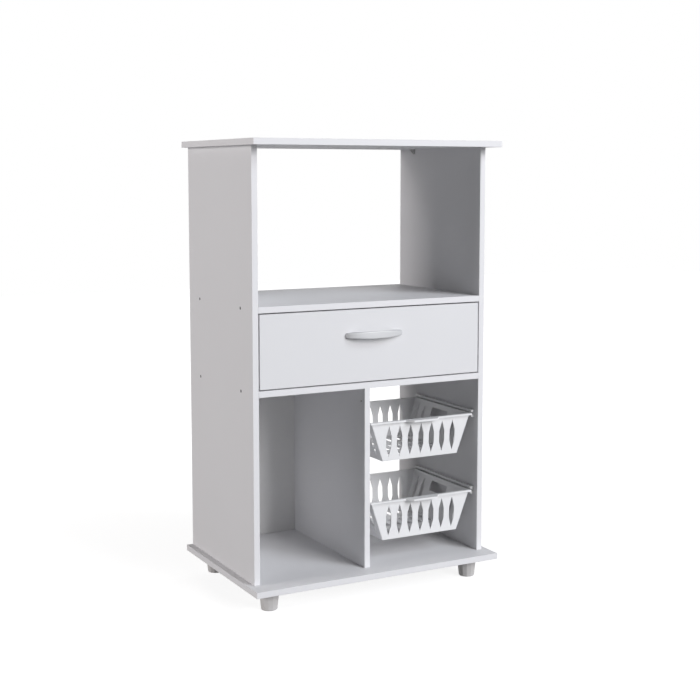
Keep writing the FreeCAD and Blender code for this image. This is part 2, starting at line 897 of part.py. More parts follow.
def build_carcass():
    shelf_screws = make_shelf_screws()
    base_screws = make_base_screws()
    divider_screws = make_divider_screws()
    foot_screws = make_foot_screws()
    bracket_screws = make_bracket_screws()
    sheet_nails = make_drawer_sheet_nails() + make_left_sheet_nails()
    rail_screws = make_cabinet_rail_screws()
    basket_screws = make_basket_runner_screws(lower_rim) + make_basket_runner_screws(upper_rim)
    rail_pairs = rail_screws + twins(rail_screws)
    basket_pairs = basket_screws + twins(basket_screws, bay_middle)
    fasteners = (
        shelf_screws + base_screws + divider_screws + foot_screws
        + bracket_screws + sheet_nails + rail_pairs + basket_pairs
    )
    dowel_holes = make_dowel_holes()

    half = overall_width / 2
    top_panel = rounded_board(-half, half, panel_front, panel_back, top_bottom, overall_height)
    save("top_panel", drilled(top_panel.cut(dowel_holes), fasteners))
    base_panel = rounded_board(-half, half, panel_front, panel_back, base_bottom, base_top)
    save("base_panel", drilled(base_panel, fasteners))

    right_panel = rounded_board(side_inner, side_outer, front, back, base_top, top_bottom)
    save("right_side_panel", drilled(right_panel.cut(dowel_holes), fasteners))
    save("left_side_panel", drilled(mirrored(right_panel).cut(dowel_holes), fasteners))

    upper_shelf = rounded_board(-side_inner, side_inner, front, back, upper_shelf_bottom, upper_shelf_top)
    save("upper_shelf", drilled(upper_shelf, fasteners))
    lower_shelf = rounded_board(-side_inner, side_inner, front, back, lower_shelf_bottom, lower_shelf_top)
    save("lower_shelf", drilled(lower_shelf, fasteners))

    divider = rounded_board(divider_left, divider_right, front, back, base_top, lower_shelf_bottom)
    pilot_seat = Vector(divider_left, front + pilot_setback, lower_shelf_bottom - pilot_drop)
    pilot = Part.makeCylinder(pilot_diameter / 2, pilot_depth, pilot_seat, RIGHT)
    save("centre_divider", drilled(divider.cut(pilot), fasteners))

    save("drawer_bay_back_sheet", make_drawer_sheet(sheet_nails))
    save("left_bay_back_sheet", make_left_sheet(sheet_nails))

    foot_names = ("front_left_foot", "front_right_foot", "back_left_foot", "back_right_foot")
    for name, (x, y) in zip(foot_names, foot_centres()):
        save(name, make_foot(x, y, foot_screws))
    for name, face, into, y in bracket_places():
        save(name, make_bracket(face, into, y, bracket_screws))

    cabinet_rail = make_cabinet_rail(rail_screws)
    save("right_cabinet_rail", cabinet_rail)
    save("left_cabinet_rail", mirrored(cabinet_rail))
    rivet = make_rivet(Vector(side_inner, cabinet_roller_y, cabinet_roller_z), LEFT)
    save("cabinet_roller_rivets", rivet, mirrored(rivet))
    roller = make_roller(cabinet_roller_out - roller_width, cabinet_roller_y, cabinet_roller_z)
    save("right_cabinet_roller", roller)
    save("left_cabinet_roller", mirrored(roller))

    for level, rim_top in (("lower", lower_rim), ("upper", upper_rim)):
        runner = make_basket_runner(rim_top, basket_screws)
        save("%s_right_basket_runner" % level, runner)
        save("%s_left_basket_runner" % level, mirrored(runner, bay_middle))

    save("shelf_screws", *solids_of(shelf_screws))
    save("base_screws", *solids_of(base_screws))
    save("divider_screws", *solids_of(divider_screws))
    save("foot_screws", *solids_of(foot_screws))
    save("bracket_screws", *solids_of(bracket_screws))
    save("back_sheet_nails", *solids_of(sheet_nails))
    save("cabinet_rail_screws", *solids_of(rail_pairs))
    save("basket_runner_screws", *solids_of(basket_pairs))
    save("top_dowels", *make_dowels())


def build_drawer():
    handle_screws = make_handle_screws()
    rail_screws = make_drawer_rail_screws()
    back_screws = make_drawer_back_screws()
    bottom_nails = make_drawer_bottom_nails()
    bolts = make_cam_bolts()
    cams = make_cams()
    bolt_holes = make_cam_bolt_holes()
    both_bolt_holes = bolt_holes + [mirrored(hole) for hole in bolt_holes]
    back_pairs = back_screws + twins(back_screws)

    save("drawer_front", make_drawer_front(handle_screws, both_bolt_holes))
    save("drawer_handle", make_handle(handle_screws))
    right_wall = make_drawer_wall(rail_screws + back_screws)
    save("drawer_right_wall", right_wall)
    save("drawer_left_wall", mirrored(right_wall))
    save("drawer_back_wall", make_drawer_back(back_pairs + bottom_nails))
    save("drawer_bottom", make_drawer_bottom(bottom_nails))

    drawer_rail = make_drawer_rail(rail_screws)
    save("right_drawer_rail", drawer_rail)
    save("left_drawer_rail", mirrored(drawer_rail))
    rivet = make_rivet(Vector(drawer_side, drawer_roller_y, drawer_roller_z), RIGHT)
    save("drawer_roller_rivets", rivet, mirrored(rivet))
    roller = make_roller(drawer_roller_in, drawer_roller_y, drawer_roller_z)
    save("right_drawer_roller", roller)
    save("left_drawer_roller", mirrored(roller))

    save("handle_screws", *solids_of(handle_screws))
    save("drawer_rail_screws", *solids_of(rail_screws + twins(rail_screws)))
    save("drawer_back_screws", *solids_of(back_pairs))
    save("drawer_bottom_nails", *solids_of(bottom_nails))
    save("drawer_cam_bolts", *(bolts + [mirrored(bolt) for bolt in bolts]))
    save("drawer_cams", *(cams + [mirrored(cam) for cam in cams]))


def build_baskets():
    save("lower_basket", make_basket(lower_rim))
    save("upper_basket", make_basket(upper_rim))


build_carcass()
build_drawer()
build_baskets()
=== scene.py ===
import math

import bmesh
import bpy
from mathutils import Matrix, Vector


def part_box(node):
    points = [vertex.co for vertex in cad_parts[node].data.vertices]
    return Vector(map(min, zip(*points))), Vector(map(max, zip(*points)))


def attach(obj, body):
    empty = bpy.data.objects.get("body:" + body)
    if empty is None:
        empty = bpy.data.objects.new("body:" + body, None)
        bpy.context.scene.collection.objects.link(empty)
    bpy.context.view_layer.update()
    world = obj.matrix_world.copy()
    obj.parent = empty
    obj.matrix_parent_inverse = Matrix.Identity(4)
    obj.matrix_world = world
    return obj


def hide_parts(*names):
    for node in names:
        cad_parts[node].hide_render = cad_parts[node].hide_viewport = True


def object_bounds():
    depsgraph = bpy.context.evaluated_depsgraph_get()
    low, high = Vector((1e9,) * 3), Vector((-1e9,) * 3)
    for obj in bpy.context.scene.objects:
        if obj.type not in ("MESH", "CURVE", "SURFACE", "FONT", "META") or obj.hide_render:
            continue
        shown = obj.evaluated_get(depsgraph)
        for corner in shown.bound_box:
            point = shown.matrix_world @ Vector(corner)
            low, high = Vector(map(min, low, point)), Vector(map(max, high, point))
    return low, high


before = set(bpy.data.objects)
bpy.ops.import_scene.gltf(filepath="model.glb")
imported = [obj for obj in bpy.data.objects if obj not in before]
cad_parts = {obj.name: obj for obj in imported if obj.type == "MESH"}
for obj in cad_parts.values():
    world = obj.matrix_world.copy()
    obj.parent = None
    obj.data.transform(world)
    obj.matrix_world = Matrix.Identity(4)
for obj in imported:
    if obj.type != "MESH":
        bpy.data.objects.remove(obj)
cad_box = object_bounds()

bl_info = {
    "name": "Kitchen storage cabinet",
    "version": (1, 0, 0),
    "blender": (4, 5, 0),
    "location": "View3D > Sidebar > Cabinet",
    "description": "Finishes, moulded pieces and a studio for a kitchen storage cabinet",
    "category": "Object",
}

# The frame is in metres: X to the right, Y to the back, Z up, and the open front faces -Y
basket_low, basket_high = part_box("upper_basket")
lower_basket_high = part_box("lower_basket")[1]
handle_low, handle_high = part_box("drawer_handle")
foot_low, foot_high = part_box("front_left_foot")
divider_low, divider_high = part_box("centre_divider")
basket_middle_x = (basket_low.x + basket_high.x) / 2
basket_side = (basket_high.x - basket_low.x) / 2

# How far a normal has to lie along an axis for its face to count as facing that way
MOSTLY = 0.7
NEARLY = 0.9
FULLY = 0.99
# Points closer than this are one point, and edges shorter than this along an axis lie across it
WELD = 0.000001
ACROSS = 0.00001
WHITE = (1.0, 1.0, 1.0, 1.0)

FOOT_NODES = ("front_left_foot", "front_right_foot", "back_left_foot", "back_right_foot")
FLAT_BOARDS = ("top_panel", "base_panel", "upper_shelf", "lower_shelf")
UPRIGHT_BOARDS = ("left_side_panel", "right_side_panel", "drawer_left_wall", "drawer_right_wall")
CROSS_BOARDS = ("drawer_front", "drawer_back_wall")
BACK_SHEETS = ("drawer_bay_back_sheet", "left_bay_back_sheet")
BRACKETS = ("back_left_bracket", "back_right_bracket")
BASKET_RUNNERS = (
    "lower_left_basket_runner", "lower_right_basket_runner",
    "upper_left_basket_runner", "upper_right_basket_runner",
)
RAILS = ("left_cabinet_rail", "right_cabinet_rail", "left_drawer_rail", "right_drawer_rail")
ROLLERS = ("left_cabinet_roller", "right_cabinet_roller", "left_drawer_roller", "right_drawer_roller")
FASTENERS = (
    "base_screws", "divider_screws", "foot_screws", "bracket_screws", "back_sheet_nails",
    "cabinet_rail_screws", "basket_runner_screws", "handle_screws", "drawer_rail_screws",
    "drawer_back_screws", "drawer_bottom_nails", "drawer_cam_bolts", "drawer_cams",
    "cabinet_roller_rivets", "drawer_roller_rivets",
)


# Settings
def colour(name, description, default):
    return bpy.props.FloatVectorProperty(
        name=name, description=description, default=default, subtype="COLOR", min=0.0, max=1.0
    )


def length(name, description, default):
    return bpy.props.FloatProperty(
        name=name, description=description, default=default, subtype="DISTANCE", unit="LENGTH", min=0.0
    )


def angle(name, description, degrees):
    return bpy.props.FloatProperty(
        name=name, description=description, default=math.radians(degrees),
        subtype="ANGLE", unit="ROTATION",
    )


def power(name, description, default):
    return bpy.props.FloatProperty(
        name=name, description=description, default=default, subtype="POWER", unit="POWER", min=0.0
    )


def place(name, description, default):
    return bpy.props.FloatVectorProperty(
        name=name, description=description, default=default, subtype="TRANSLATION", unit="LENGTH"
    )


def number(name, description, default):
    return bpy.props.FloatProperty(name=name, description=description, default=default)


def count(name, description, default, lowest):
    return bpy.props.IntProperty(name=name, description=description, default=default, min=lowest)


class FinishSettings(bpy.types.PropertyGroup):
    """Colours of the cabinet's finishes."""

    board: colour("Board", "White melamine on the faces of the boards", (0.76, 0.757, 0.77))
    edge_tape: colour("Edge tape", "White tape on the edges of the boards", (0.80, 0.795, 0.81))
    sheet_paint: colour("Sheet paint", "White paint on the back sheets' fronts", (0.77, 0.765, 0.76))
    raw_fibre: colour("Raw fibre", "Bare brown fibre on the back of the sheets", (0.30, 0.185, 0.10))
    raw_core: colour("Raw core", "Bare chipboard in the divider's pilot hole", (0.24, 0.165, 0.105))
    basket: colour("Basket", "Moulded white plastic", (0.83, 0.83, 0.835))
    # The bracket's grey is partly its own colour and partly painted shade: darker than a white
    # moulding, to match the shade the brackets sit in.
    bracket: colour("Bracket", "Moulded grey plastic", (0.42, 0.415, 0.41))
    foot: colour("Foot", "Silver grey plastic", (0.60, 0.585, 0.58))
    handle: colour("Handle", "Satin silver lacquer", (0.57, 0.575, 0.585))
    rail: colour("Rail", "White epoxy coat on steel", (0.80, 0.80, 0.79))
    nylon: colour("Nylon", "Natural nylon", (0.78, 0.765, 0.70))
    zinc: colour("Zinc", "Bright zinc plate", (0.60, 0.605, 0.62))
    # The shelf screws' zinc is darkened far below real zinc. This is painted shade, so that their heads
    # look dark.
    shade_painted_zinc: colour("Dull zinc", "Dull zinc plate of the shelf screws", (0.10, 0.10, 0.105))
    beech: colour("Beech", "Raw beech of the dowels", (0.60, 0.42, 0.25))


class DividerSettings(bpy.types.PropertyGroup):
    """The pilot hole in the left face of the centre divider."""

    hole_setback: length("Hole setback", "From the divider's front edge", 0.018)
    hole_drop: length("Hole drop", "From the divider's top", 0.033)
    hole_reach: length("Hole reach", "Radius that takes in the hole's wall", 0.00205)


class BasketSettings(bpy.types.PropertyGroup):
    """Sizes of the two moulded baskets."""

    wall: length("Wall", "Thickness of the plastic", 0.0022)
    edge_round: length("Edge round", "Rounding of the moulded edges", 0.0004)
    tab_projection: length("Tab projection", "How far the pull tab stands out in front", 0.016)
    tab_length: length("Tab length", "Pull tab along the rim", 0.096)
    tab_front_length: length("Tab front length", "Pull tab along its front edge", 0.067)
    rim_depth: length("Rim depth", "Height of the turned-down lip", 0.0048)
    rim_corner_inset: length("Rim corner inset", "How far the front corners stand in", 0.0068)
    rim_corner_length: length("Rim corner length", "Straight part of the inset front corners", 0.006)
    rim_corner_cut: length("Rim corner cut", "Slanted part of the inset front corners", 0.007)
    end_flange: length("End flange", "Rim from the end walls to its edge", 0.006)
    side_flange: length("Side flange", "Rim from the side walls to its edge", 0.0093)
    side_lean: length("Side lean", "How far the side walls lean in", 0.0355)
    end_lean: length("End lean", "How far the end walls lean in", 0.005)
    corner: length("Corner", "Radius of the upright corners", 0.0035)
    slot_width: length("Slot width", "Width of a pointed slot", 0.015)
    slot_pitch: length("Slot pitch", "From slot to slot", 0.031)
    slot_point: length("Slot point", "Length of a slot's tapered end", 0.026)
    slot_below_rim: length("Slot below rim", "From the rim's top to the slots", 0.0125)
    slot_above_floor: length("Slot above floor", "From the floor's underside to the slots", 0.0095)
    side_slot_start: length("Side slot start", "From a side wall's middle to its first slot", 0.074)
    window_length: length("Window length", "Hand window in a side wall", 0.080)
    window_height: length("Window height", "Hand window in a side wall", 0.026)
    window_point: length("Window point", "Tapered end of the hand window", 0.003)
    window_below_rim: length("Window below rim", "From the rim's top to the hand window", 0.012)
    floor_slot_length: length("Floor slot length", "Length of a slot in the floor", 0.064)
    floor_slot_point: length("Floor slot point", "Tapered end of a slot in the floor", 0.008)
    floor_slot_gap: length("Floor slot gap", "Between rows of slots in the floor", 0.014)
    slot_count: count("Slots", "Slots across an end wall and the floor", 7, 1)
    floor_rows: count("Floor rows", "Rows of slots in the floor", 3, 1)
    overshoot: length("Overshoot", "How far a cutter reaches past what it cuts", 0.010)
    smooth_angle: angle("Smooth angle", "Sharper edges are rounded, flatter ones look smooth", 35.0)


class HandleSettings(bpy.types.PropertyGroup):
    """Sizes of the bow handle."""

    thickness: length("Thickness", "Of the bow at its middle", 0.006)
    foot_length: length("Foot length", "Each end's contact with the drawer front", 0.026)
    end_height: length("End height", "Of the bow near its tips", 0.012)
    end_round: length("End round", "Rounded part of each tip, seen from the front", 0.006)
    tip_height: length("Tip height", "Of the bow at its very tips", 0.004)
    tip_thickness: length("Tip thickness", "Of the bow at its very tips", 0.004)
    edge_round: bpy.props.FloatProperty(
        name="Edge round", description="Rounding of the long edges, as a share of each section's sides",
        default=18.0, min=0.0, max=49.0, subtype="PERCENTAGE",
    )
    steps: count("Steps", "Sections along the bow", 72, 4)
    smooth_angle: angle("Smooth angle", "Edges flatter than this look smooth", 40.0)


class FootSettings(bpy.types.PropertyGroup):
    """Sizes of the twelve-sided feet."""

    sides: count("Sides", "Flat sides of a foot", 12, 3)
    bottom_diameter: length("Bottom diameter", "Across the corners, at the floor", 0.0395)
    bottom_round: length("Bottom round", "Rounding above the floor", 0.002)
    corner_round: length("Corner round", "Rounding between two sides", 0.0005)
    bore_diameter: length("Bore diameter", "Of the hole for the foot's screw", 0.012)
    floor_thickness: length("Floor thickness", "Of the foot above its bore", 0.010)
    smooth_angle: angle("Smooth angle", "Edges flatter than this look smooth", 5.0)


class StudioSettings(bpy.types.PropertyGroup):
    """The camera, the lamps and the floor."""

    camera_place: place("Camera place", "Where the camera stands", (-1.5284, -2.9053, 1.0348))
    camera_yaw: angle("Camera yaw", "Turn of the camera about the vertical", -28.220)
    camera_pitch: angle("Camera pitch", "Tilt of the camera below the horizon", 5.947)
    camera_lens: number("Lens", "Focal length in millimetres", 66.622)
    sensor_width: number("Sensor width", "In millimetres", 36.0)
    shift_x: number("Shift X", "Sideways shift of the lens", -0.00111)
    shift_y: number("Shift Y", "Upright shift of the lens", -0.06)
    key_power: power("Key", "Soft lamp far in front", 655.0)
    key_place: place("Key place", "Where the key lamp hangs", (3.1, -8.5, 3.7))
    key_width: length("Key width", "Of the key lamp", 3.7)
    key_tint: colour("Key tint", "Colour of the key lamp", (0.985, 0.985, 1.0))
    high_power: power("High", "Soft lamp high at the front right", 410.0)
    high_place: place("High place", "Where the high lamp hangs", (5.3, -7.3, 7.6))
    high_width: length("High width", "Of the high lamp", 3.7)
    high_tint: colour("High tint", "Colour of the high lamp", (0.87, 0.925, 1.0))
    side_power: power("Side", "Soft lamp at the left", 232.0)
    side_place: place("Side place", "Where the side lamp hangs", (-6.5, 0.8, 2.2))
    side_width: length("Side width", "Of the side lamp", 2.6)
    side_tint: colour("Side tint", "Colour of the side lamp", (1.0, 0.965, 0.96))
    back_power: power("Back", "Soft lamp behind", 20.0)
    back_place: place("Back place", "Where the back lamp hangs", (2.5, 2.6, 1.9))
    back_width: length("Back width", "Of the back lamp", 1.6)
    back_tint: colour("Back tint", "Colour of the back lamp", (1.0, 1.0, 1.0))
    sky: bpy.props.FloatProperty(name="Sky", description="Light from all around", default=0.02, min=0.0)
    floor_width: length("Floor width", "Of the pale floor", 16.0)
    floor_drop: length("Floor drop", "Hair's breadth from the feet down to the floor", 0.0005)
    floor_dark: colour("Floor dark", "Darker cloud in the floor", (0.29, 0.29, 0.29))
    floor_pale: colour("Floor pale", "Paler cloud in the floor", (0.31, 0.31, 0.31))
    floor_glow: number("Floor glow", "White seen on the floor near the cabinet", 0.85)
    glow_near: length("Glow near", "From the middle of the floor to where the glow starts to grow", 0.5)
    glow_far: length("Glow far", "From the middle of the floor to full white", 2.2)


# Shader maths
class Value:
    """A shader socket. An expression on values adds Math nodes."""

    def __init__(self, surface, socket):
        self.surface = surface
        self.socket = socket

    def math(self, operation, first, second=0.0):
        return self.surface.node("ShaderNodeMath", {"operation": operation}, {0: first, 1: second})

    def __add__(self, other):
        return self.math("ADD", self, other)

    def __sub__(self, other):
        return self.math("SUBTRACT", self, other)

    def __rsub__(self, other):
        return self.math("SUBTRACT", other, self)

    def __mul__(self, other):
        return self.math("MULTIPLY", self, other)

    def __gt__(self, other):
        return self.math("GREATER_THAN", self, other)

    def __abs__(self):
        return self.math("ABSOLUTE", self)

    __radd__ = __add__
    __rmul__ = __mul__


class Surface:
    """A node material around one shader."""

    def __init__(self, name):
        self.material = bpy.data.materials.new(name)
        self.material.use_nodes = True
        self.tree = self.material.node_tree
        self.shader = self.tree.nodes["Principled BSDF"]

    def node(self, kind, settings=None, inputs=None, output=0):
        """Add a node with its settings and the values or links of its sockets."""
        node = self.tree.nodes.new(kind)
        for name, value in (settings or {}).items():
            setattr(node, name, value)
        for name, value in (inputs or {}).items():
            self.feed(node.inputs[name], value)
        return Value(self, node.outputs[output])

    def feed(self, socket, value):
        if isinstance(value, Value):
            self.tree.links.new(value.socket, socket)
        else:
            socket.default_value = value

    def set(self, **inputs):
        """Feed the shader's own sockets, with underscores for spaces."""
        for name, value in inputs.items():
            self.feed(self.shader.inputs[name.replace("_", " ")], value)

    def place(self, stretch=(1.0, 1.0, 1.0)):
        """Object coordinates in metres, scaled along each axis."""
        inputs = {"Vector": self.node("ShaderNodeTexCoord", output="Object"), "Scale": stretch}
        return self.node("ShaderNodeMapping", {"vector_type": "POINT"}, inputs)

    def noise(self, size, detail=2.0, stretch=(1.0, 1.0, 1.0)):
        """Soft noise whose spots are about as large as the size, in metres."""
        inputs = {"Vector": self.place(stretch), "Scale": 1.0 / size, "Detail": detail}
        return self.node("ShaderNodeTexNoise", {"noise_dimensions": "3D"}, inputs)

    def from_line(self, y, z):
        """Distance in metres from a line along X."""
        inputs = {0: self.place((0.0, 1.0, 1.0)), 1: (0.0, y, z)}
        return self.node("ShaderNodeVectorMath", {"operation": "DISTANCE"}, inputs, "Value")

    def facing(self, axis):
        """How far the surface faces along an axis, from -1 to 1."""
        normal = self.node("ShaderNodeNewGeometry", output="Normal")
        return self.node("ShaderNodeSeparateXYZ", None, {"Vector": normal}, axis)

    def mix(self, factor, first, second):
        """Blend two colours."""
        inputs = {"Factor": factor, 6: opaque(first), 7: opaque(second)}
        return self.node("ShaderNodeMix", {"data_type": "RGBA"}, inputs, 2)

    def shades(self, factor, tone, dark, light=1.0):
        """Blend a darker and a lighter shade of one colour."""
        return self.mix(factor, scaled(tone, dark), scaled(tone, light))

    def bump(self, height, depth, strength=1.0):
        """A bumped normal from a height between 0 and 1, over a depth in metres."""
        inputs = {"Height": height, "Distance": depth, "Strength": strength}
        return self.node("ShaderNodeBump", None, inputs)


def opaque(value):
    return value if isinstance(value, Value) else (*value[:3], 1.0)


def scaled(tone, factor):
    """A colour made lighter or darker."""
    return tuple(min(1.0, channel * factor) for channel in tone)


# Finishes
def board_surface(name, face_axis):
    """Surface and colour of a board: embossed white melamine, with smoother tape on its edges."""
    tones = bpy.context.scene.cabinet_finishes
    surface = Surface(name)
    cloud = surface.noise(size=0.22, detail=3.0)
    emboss = surface.noise(size=0.0011, detail=3.0)
    speck = surface.noise(size=0.004)
    on_face = abs(surface.facing(face_axis)) > MOSTLY
    face = surface.shades(cloud, tones.board, dark=0.985, light=1.012)
    tape = surface.shades(speck, tones.edge_tape, dark=0.99)
    melamine = surface.mix(on_face, tape, face)
    surface.set(
        Base_Color=melamine,
        Roughness=0.56 + 0.06 * on_face + 0.08 * emboss,
        Normal=surface.bump(emboss * on_face, depth=0.0001, strength=0.5),
        IOR=1.46,
        Specular_IOR_Level=0.32,
    )
    return surface, melamine


def board_finish(name, face_axis):
    """A board whose faces look along an axis."""
    return board_surface(name, face_axis)[0].material


def divider_finish(sizes):
    """A board's finish, with bare chipboard inside the pilot hole."""
    core = bpy.context.scene.cabinet_finishes.raw_core
    surface, melamine = board_surface("divider_board", "X")
    chips = surface.noise(size=0.0012, detail=3.0)
    bare = surface.shades(chips, core, dark=0.6, light=1.4)
    distance = surface.from_line(divider_low.y + sizes.hole_setback, divider_high.z - sizes.hole_drop)
    in_hole = (sizes.hole_reach - distance) > 0.0
    surface.set(Base_Color=surface.mix(in_hole, melamine, bare))
    return surface.material


def sheet_finish():
    """Hardboard with white paint on its front and bare screened fibre on its back."""
    tones = bpy.context.scene.cabinet_finishes
    surface = Surface("painted_hardboard")
    fibre = surface.noise(size=0.0025, detail=6.0, stretch=(1.0, 1.0, 0.35))
    cloud = surface.noise(size=0.06, detail=3.0)
    bare = surface.shades(fibre, tones.raw_fibre, dark=0.62, light=1.35)
    shaded = surface.mix(cloud, scaled(tones.raw_fibre, 0.85), bare)
    paint = surface.shades(cloud, tones.sheet_paint, dark=0.98)
    painted = (0.0 - surface.facing("Y")) > MOSTLY
    waves = [
        surface.node(
            "ShaderNodeTexWave", {"wave_type": "BANDS", "bands_direction": axis},
            {"Vector": surface.place(), "Scale": 260.0, "Distortion": 0.6},
        )
        for axis in ("X", "Z")
    ]
    screen = waves[0] * waves[1] * (1.0 - painted)
    surface.set(
        Base_Color=surface.mix(painted, shaded, paint),
        Roughness=0.72 - 0.22 * painted + 0.1 * fibre,
        Normal=surface.bump(screen + 0.3 * fibre, depth=0.00022, strength=0.6),
    )
    return surface.material


def moulded_finish(name, tone, roughness, grain_depth):
    """Moulded plastic with a spark-eroded grain and a faint cloudiness."""
    surface = Surface(name)
    cloud = surface.noise(size=0.05)
    grain = surface.noise(size=0.0007)
    surface.set(
        Base_Color=surface.shades(cloud, tone, dark=0.965, light=1.015),
        Roughness=roughness - 0.06 + 0.12 * grain,
        Normal=surface.bump(grain, grain_depth, strength=0.5),
        IOR=1.49,
    )
    return surface.material


def silver_finish(name, tone, metallic, roughness, brush):
    """Silver lacquer: fine metal flakes that lie along the brush direction."""
    surface = Surface(name)
    flakes = surface.noise(size=0.0004, stretch=brush)
    cloud = surface.noise(size=0.02)
    surface.set(
        Base_Color=surface.shades(flakes, tone, dark=0.97, light=1.03),
        Metallic=metallic,
        Roughness=roughness + 0.10 * flakes + 0.05 * cloud,
        Normal=surface.bump(flakes, depth=0.00001, strength=0.2),
    )
    return surface.material


def epoxy_finish(tone):
    """Powder coat on steel, with its orange peel."""
    surface = Surface("white_epoxy_steel")
    peel = surface.noise(size=0.0028)
    cloud = surface.noise(size=0.04)
    surface.set(
        Base_Color=surface.shades(cloud, tone, dark=0.96),
        Roughness=0.30 + 0.12 * peel,
        Normal=surface.bump(peel, depth=0.00008, strength=0.6),
    )
    return surface.material


def zinc_finish(name, tone):
    """Zinc plate with a fine crystal pattern."""
    surface = Surface(name)
    crystal = surface.node(
        "ShaderNodeTexVoronoi", {"feature": "F1"}, {"Vector": surface.place(), "Scale": 1400.0}, "Color"
    )
    grey = surface.node("ShaderNodeRGBToBW", None, {"Color": crystal})
    haze = surface.noise(size=0.003)
    surface.set(
        Base_Color=surface.shades(grey, tone, dark=0.82, light=1.08),
        Metallic=1.0,
        Roughness=0.28 + 0.14 * haze,
        Normal=surface.bump(grey, depth=0.00002, strength=0.5),
    )
    return surface.material


def beech_finish(tone):
    """Beech with dark flecks along the dowels."""
    surface = Surface("raw_beech")
    streak = surface.noise(size=0.0012, detail=4.0, stretch=(1.0, 1.0, 0.12))
    fleck = surface.noise(size=0.0016, stretch=(1.0, 1.0, 0.3)) > 0.62
    grain = surface.shades(streak, tone, dark=0.8, light=1.12)
    surface.set(
        Base_Color=surface.mix(fleck * 0.45, grain, scaled(tone, 0.5)),
        Roughness=0.62 + 0.12 * streak,
        Normal=surface.bump(streak, depth=0.00008, strength=0.6),
    )
    return surface.material


def dress(material, *nodes):
    """Give nodes of the frame a finish."""
    for name in nodes:
        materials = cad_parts[name].data.materials
        materials.clear()
        materials.append(material)


# Modelling tools
def activate(piece):
    """Make a piece the active one and the only one selected."""
    bpy.ops.object.select_all(action="DESELECT")
    piece.select_set(True)
    bpy.context.view_layer.objects.active = piece


def edit_all(piece):
    """Open a piece in edit mode, with all of it selected."""
    activate(piece)
    bpy.ops.object.mode_set(mode="EDIT")
    bpy.ops.mesh.select_all(action="SELECT")


def new_mesh(name):
    """A unit cube named for its piece, alone in the selection and in edit mode."""
    bpy.ops.object.select_all(action="DESELECT")
    bpy.ops.mesh.primitive_cube_add(size=1.0, location=(0.0, 0.0, 0.0))
    piece = bpy.context.object
    piece.name = name
    edit_all(piece)
    return piece


def select(kind, test):
    """Select the vertices, edges or faces that pass a test, in edit mode."""
    bpy.ops.mesh.select_mode(type=kind)
    bpy.ops.mesh.select_all(action="DESELECT")
    mesh = bmesh.from_edit_mesh(bpy.context.object.data)
    for item in {"VERT": mesh.verts, "EDGE": mesh.edges, "FACE": mesh.faces}[kind]:
        if test(item):
            item.select_set(True)
    mesh.select_flush_mode()
    bmesh.update_edit_mesh(bpy.context.object.data)


def resize(x, y, z, centre=(0.0, 0.0, 0.0)):
    bpy.ops.transform.resize(value=(x, y, z), center_override=centre)


def move(x, y, z):
    bpy.ops.transform.translate(value=(x, y, z))


def extrude(x, y, z):
    bpy.ops.mesh.extrude_region_move(TRANSFORM_OT_translate={"value": (x, y, z)})


def close_mesh():
    """Join doubled points, turn all faces outwards and leave edit mode."""
    bpy.ops.mesh.select_all(action="SELECT")
    bpy.ops.mesh.remove_doubles(threshold=WELD)
    bpy.ops.mesh.normals_make_consistent(inside=False)
    bpy.ops.object.mode_set(mode="OBJECT")


def apply_modifier(piece, kind, **settings):
    """Add a modifier, set it and apply it."""
    activate(piece)
    modifier = piece.modifiers.new(kind.lower(), kind)
    for name, value in settings.items():
        setattr(modifier, name, value)
    bpy.ops.object.modifier_apply(modifier=modifier.name)


def combine(piece, other, operation):
    """Join another solid to the piece or cut it away, and remove the other."""
    apply_modifier(piece, "BOOLEAN", operation=operation, solver="EXACT", object=other)
    mesh = other.data
    bpy.data.objects.remove(other)
    bpy.data.meshes.remove(mesh)


def round_edges(piece, width, limit):
    """Round the edges sharper than a limit and smooth the others. Flat faces stay flat."""
    apply_modifier(
        piece, "BEVEL", width=width, segments=2, limit_method="ANGLE", angle_limit=limit,
        use_clamp_overlap=True, miter_outer="MITER_ARC",
    )
    bpy.ops.object.shade_smooth_by_angle(angle=limit)
    apply_modifier(piece, "WEIGHTED_NORMAL", mode="FACE_AREA", weight=100, keep_sharp=True)


def copy_piece(piece, name, x, y, z):
    """A copy with its own mesh, moved to another place."""
    activate(piece)
    bpy.ops.object.duplicate(linked=False)
    copy = bpy.context.object
    copy.name = name
    edit_all(copy)
    move(x, y, z)
    bpy.ops.object.mode_set(mode="OBJECT")
    return copy


def hand_in(piece, material, body, node):
    """Dress a new piece and let it stand for its node."""
    piece.data.materials.clear()
    piece.data.materials.append(material)
    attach(piece, body)
    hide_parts(node)


# Baskets
def make_tub(sizes, inset, bottom, top):
    """A tapered block with round upright corners, drawn in from the tub's outside."""
    height = basket_high.z - basket_low.z
    front = basket_low.y + sizes.tab_projection + sizes.end_flange + inset
    back = basket_high.y - sizes.end_flange - inset
    middle_y = (front + back) / 2
    tub = new_mesh("tub")

    def half_sizes(z):
        fall = (basket_high.z - z) / height
        half_x = basket_side - sizes.side_flange - inset - sizes.side_lean * fall
        return half_x, (back - front) / 2 - sizes.end_lean * fall

    for z, upper in ((bottom, False), (top, True)):
        half_x, half_y = half_sizes(z)
        select("VERT", lambda vertex: (vertex.co.z > 0) == upper)
        resize(2 * half_x, 2 * half_y, 1.0)
    bpy.ops.mesh.select_all(action="SELECT")
    resize(1.0, 1.0, top - bottom)
    move(basket_middle_x, middle_y, (top + bottom) / 2)
    select("EDGE", lambda edge: abs(edge.verts[0].co.z - edge.verts[1].co.z) > height / 2)
    bpy.ops.mesh.bevel(offset=sizes.corner - inset, offset_type="WIDTH", segments=5, affect="EDGES")
    close_mesh()
    return tub


